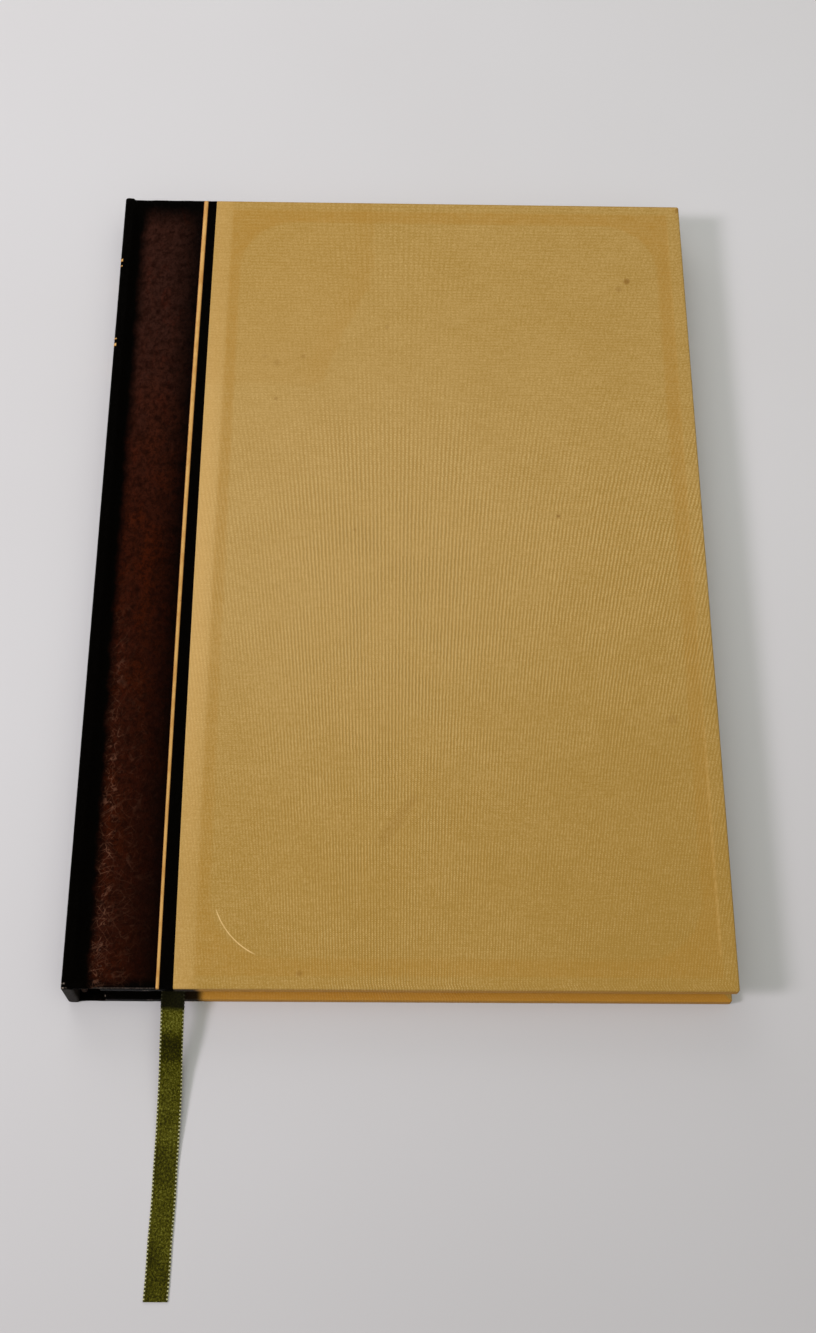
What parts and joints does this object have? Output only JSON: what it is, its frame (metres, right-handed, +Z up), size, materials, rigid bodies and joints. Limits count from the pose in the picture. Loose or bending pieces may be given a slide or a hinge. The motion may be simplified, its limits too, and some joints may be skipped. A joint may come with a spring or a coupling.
{
  "type": "blank journal",
  "caption": "Hardback blank journal in a quarter binding: two covered boards hinged on a square-backed block of pages, with a ribbon marker at the tail.",
  "frame": {"origin": "middle of the closed covers' underside, where the book lies on its back cover", "axes": "+Z up out of the front cover, +Y towards the head, -X at the spine and +X at the fore edge"},
  "size_m": [0.162, 0.3033, 0.0128],
  "materials": {
    "pages": "matte, cut edges",
    "endpaper": "matte",
    "grey_board": "matte",
    "book_cloth": "fine ribbed weave, sized",
    "spine_leather": "satin, dark brown shading to black",
    "mull": "open weave, glued",
    "liner_paper": "matte",
    "end_band": "woven",
    "ribbon": "satin"
  },
  "bodies": {
    "block": {"text_block": "pages", "front_flyleaf": "endpaper", "back_flyleaf": "endpaper", "front_endpaper_hinge": "endpaper", "back_endpaper_hinge": "endpaper", "spine_strip": "grey_board", "spine_leather": "spine_leather", "front_joint_leather": "spine_leather", "back_joint_leather": "spine_leather", "spine_mull": "mull", "spine_paper_liner": "liner_paper", "head_band": "end_band", "tail_band": "end_band", "ribbon_inner": "ribbon", "ribbon_tail": "ribbon"},
    "front_cover": {"front_board": "grey_board", "front_cloth": "book_cloth", "front_leather": "spine_leather", "front_pastedown": "endpaper"},
    "back_cover": {"back_board": "grey_board", "back_cloth": "book_cloth", "back_leather": "spine_leather", "back_pastedown": "endpaper"}
  },
  "joints": [
    {"name": "front_hinge", "type": "hinge", "parent": "block", "child": "front_cover", "pos_m": [-0.0782, 0, 0.0113], "axis": [0, -1, 0], "range_deg": [0, 178], "deforming": ["front_joint_leather", "front_endpaper_hinge"]},
    {"name": "back_hinge", "type": "hinge", "parent": "block", "child": "back_cover", "pos_m": [-0.0782, 0, 0.0015], "axis": [0, 1, 0], "range_deg": [0, 178], "deforming": ["back_joint_leather", "back_endpaper_hinge"]}
  ]
}
